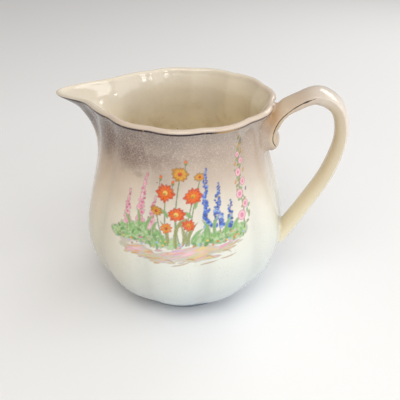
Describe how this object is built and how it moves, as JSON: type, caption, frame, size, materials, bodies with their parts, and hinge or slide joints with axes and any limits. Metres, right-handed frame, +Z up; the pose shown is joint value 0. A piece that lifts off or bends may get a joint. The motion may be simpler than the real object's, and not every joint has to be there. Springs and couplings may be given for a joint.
{
  "type": "milk jug",
  "caption": "Hollow glazed jug with a softly lobed belly, a drawn-out pouring spout, a strap handle ending in a small scroll and a low foot ring.",
  "frame": {"origin": "on the standing surface, under the middle of the jug's length from spout to handle", "axes": "+Z up, +X from the spout to the handle, +Y across the body"},
  "size_m": [0.1484, 0.1058, 0.1207],
  "materials": {
    "glaze": "glossy cream glaze, shaded brown round the neck, worn gilt line at the rim"
  },
  "bodies": {
    "root": {"jug": "glaze"}
  },
  "joints": []
}
